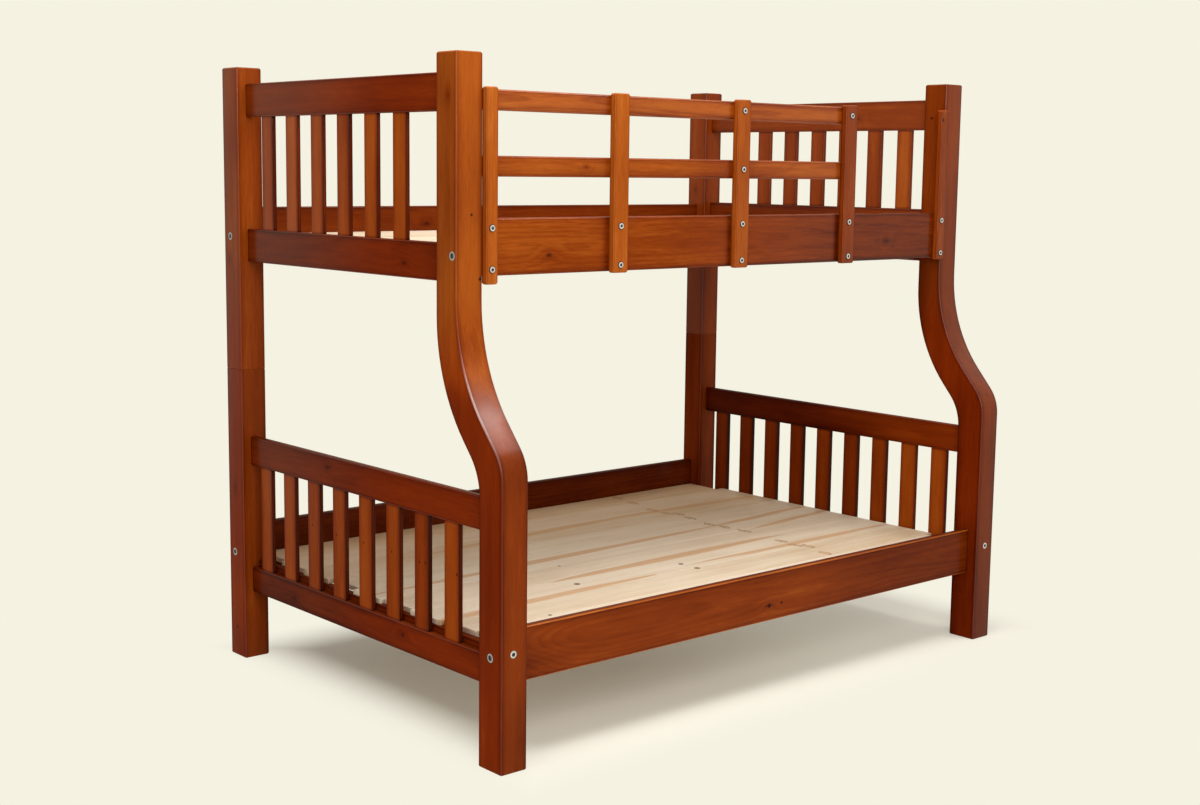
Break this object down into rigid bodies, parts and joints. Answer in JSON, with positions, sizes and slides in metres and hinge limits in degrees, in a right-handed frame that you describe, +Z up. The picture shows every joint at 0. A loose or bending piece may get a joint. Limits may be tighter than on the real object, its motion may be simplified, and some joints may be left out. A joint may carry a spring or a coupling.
{
  "type": "bunk bed",
  "caption": "Bunk bed in stained timber: wide lower bunk, narrower upper bunk set back on S-curved front posts, slatted ends, guard rail with an entry gap, boarded decks.",
  "frame": {"origin": "on the floor, in the middle of the bed's outer box", "axes": "+X along the bed towards the end with the entry gap, +Y from the front with the guard to the back, +Z up"},
  "size_m": [2, 1.36, 1.772],
  "materials": {
    "stained_timber": "glossy reddish-brown stain",
    "pale_boards": "planed, unfinished",
    "dowel_timber": "plain",
    "steel": "zinc plated"
  },
  "bodies": {
    "bed_frame": {"barrel_nuts": "steel", "bed_bolts": "steel", "cross_bolts": "steel", "front_left_curved_post": "stained_timber", "front_right_curved_post": "stained_timber", "guard_bolts": "steel", "guard_inserts": "steel", "guard_middle_rail": "stained_timber", "guard_post_1": "stained_timber", "guard_post_2": "stained_timber", "guard_post_3": "stained_timber", "guard_post_4": "stained_timber", "guard_post_5": "stained_timber", "guard_top_rail": "stained_timber", "insert_nuts": "steel", "left_lower_bottom_rail": "stained_timber", "left_lower_slats": "stained_timber", "left_lower_top_rail": "stained_timber", "left_upper_bottom_rail": "stained_timber", "left_upper_slats": "stained_timber", "left_upper_top_rail": "stained_timber", "lower_front_cleat": "pale_boards", "lower_front_side_rail": "stained_timber", "lower_left_end_cleat": "pale_boards", "lower_rear_cleat": "pale_boards", "lower_rear_side_rail": "stained_timber", "lower_right_end_cleat": "pale_boards", "rear_left_lower_post": "stained_timber", "rear_left_upper_post": "stained_timber", "rear_post_dowels": "dowel_timber", "rear_right_lower_post": "stained_timber", "rear_right_upper_post": "stained_timber", "right_lower_bottom_rail": "stained_timber", "right_lower_slats": "stained_timber", "right_lower_top_rail": "stained_timber", "right_upper_bottom_rail": "stained_timber", "right_upper_slats": "stained_timber", "right_upper_top_rail": "stained_timber", "upper_front_cleat": "pale_boards", "upper_front_side_rail": "stained_timber", "upper_left_end_cleat": "pale_boards", "upper_rear_cleat": "pale_boards", "upper_rear_side_rail": "stained_timber", "upper_right_end_cleat": "pale_boards"},
    "lower_deck": {"lower_deck_battens": "pale_boards", "lower_deck_board_1": "pale_boards", "lower_deck_board_2": "pale_boards", "lower_deck_board_3": "pale_boards", "lower_deck_board_4": "pale_boards", "lower_deck_board_5": "pale_boards", "lower_deck_board_6": "pale_boards", "lower_deck_board_7": "pale_boards", "lower_deck_board_8": "pale_boards", "lower_deck_board_9": "pale_boards"},
    "upper_deck": {"upper_deck_battens": "pale_boards", "upper_deck_boards": "pale_boards"}
  },
  "joints": [
    {"name": "lower_deck_lift", "type": "slide", "parent": "bed_frame", "child": "lower_deck", "axis": [0, 0, 1], "range_m": [0, 0.15]},
    {"name": "upper_deck_lift", "type": "slide", "parent": "bed_frame", "child": "upper_deck", "axis": [0, 0, 1], "range_m": [0, 0.15]}
  ]
}
